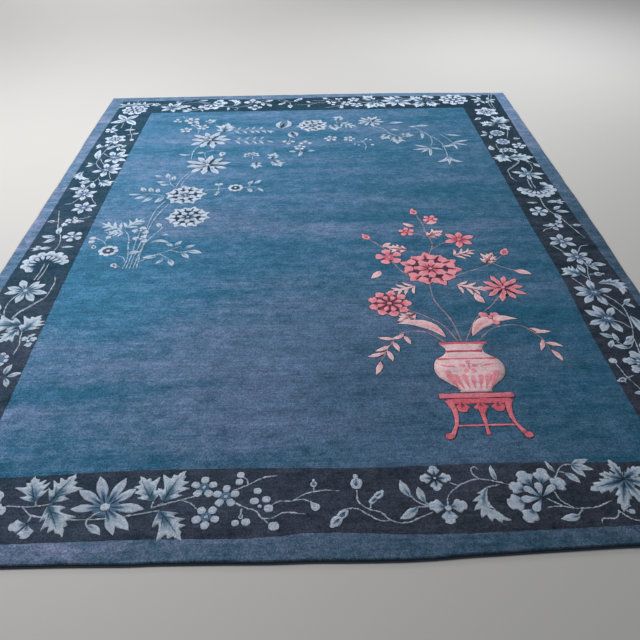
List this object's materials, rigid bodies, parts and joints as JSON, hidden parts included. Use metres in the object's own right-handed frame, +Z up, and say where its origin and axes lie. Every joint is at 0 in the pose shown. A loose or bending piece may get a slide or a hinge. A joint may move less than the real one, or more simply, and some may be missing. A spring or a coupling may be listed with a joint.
{
  "type": "hand-knotted pile rug",
  "caption": "Large flat wool pile rug with a flowered field, a dark flowered band and a plain outer strip, flat-woven end webs and overcast side selvedges.",
  "frame": {"origin": "on the floor, under the middle of the rug's overall box", "axes": "+Z up out of the pile, +Y along the length towards the end that is far in the picture, +X to the right across the width"},
  "size_m": [2.7552, 3.6744, 0.0125],
  "materials": {
    "pile_wool": "short cut wool pile, matt with a soft sheen",
    "selvedge_yarn": "overcast pale yarn, matt",
    "band_wool": "dark cut wool pile, matt",
    "flower_wool": "pale blue cut wool pile, matt",
    "coral_wool": "coral and pink cut wool pile, matt",
    "web_cotton": "flat-woven undyed cotton, matt"
  },
  "bodies": {
    "root": {"carpet": "pile_wool", "selvedge_left": "selvedge_yarn", "selvedge_right": "selvedge_yarn"}
  },
  "joints": []
}
